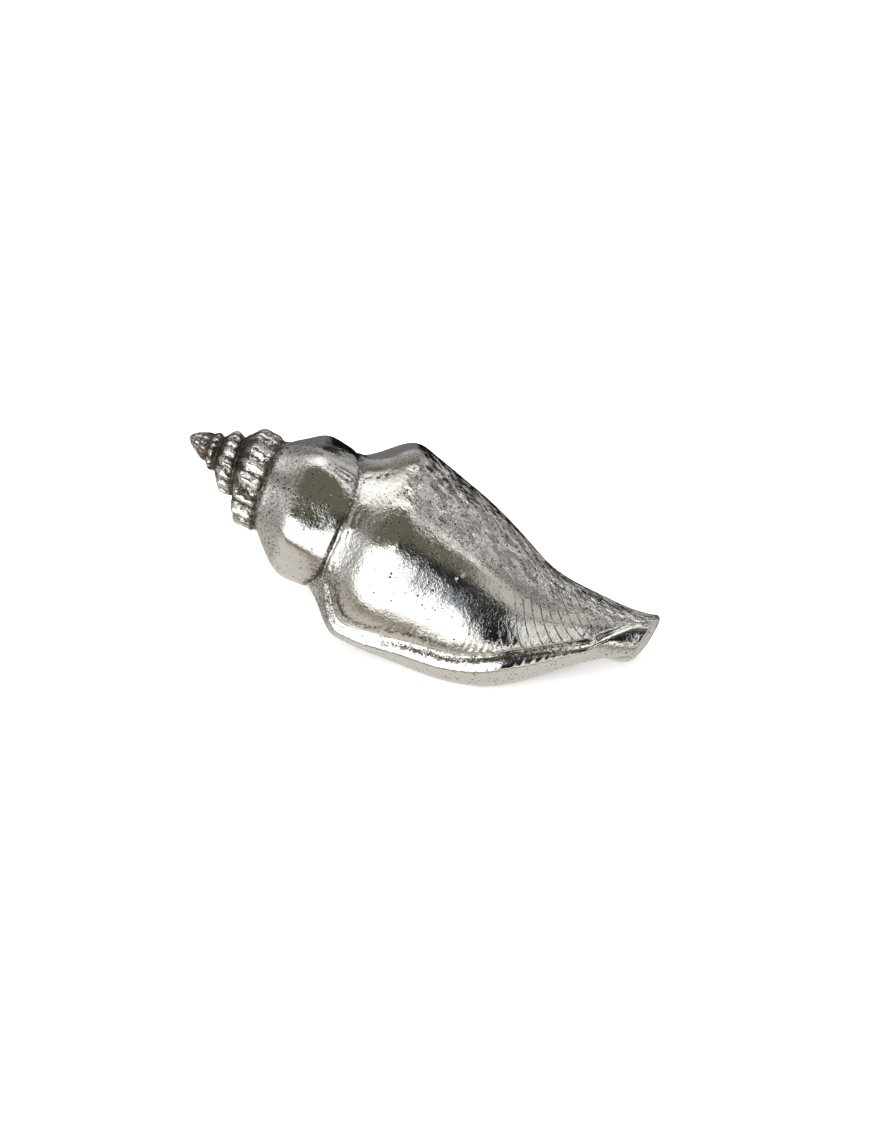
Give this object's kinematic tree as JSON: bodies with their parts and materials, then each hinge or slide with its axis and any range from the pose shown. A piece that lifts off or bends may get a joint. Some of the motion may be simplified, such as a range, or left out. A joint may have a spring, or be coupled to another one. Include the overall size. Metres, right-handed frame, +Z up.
{
  "type": "conch shell",
  "caption": "Conch shell ornament cast in polished white metal, with a ribbed spire, a big rounded last whorl, a rolled lip and a short bent canal.",
  "frame": {"origin": "centre of the shell's box in plan, on the surface it rests on", "axes": "+X towards the end of the canal, along the longest way of the shell; -Y towards the lip; +Z up with the shell lying on its opening"},
  "size_m": [0.0884, 0.0354, 0.03],
  "materials": {
    "white_metal": "polished"
  },
  "bodies": {
    "root": {"conch_shell": "white_metal"}
  },
  "joints": []
}
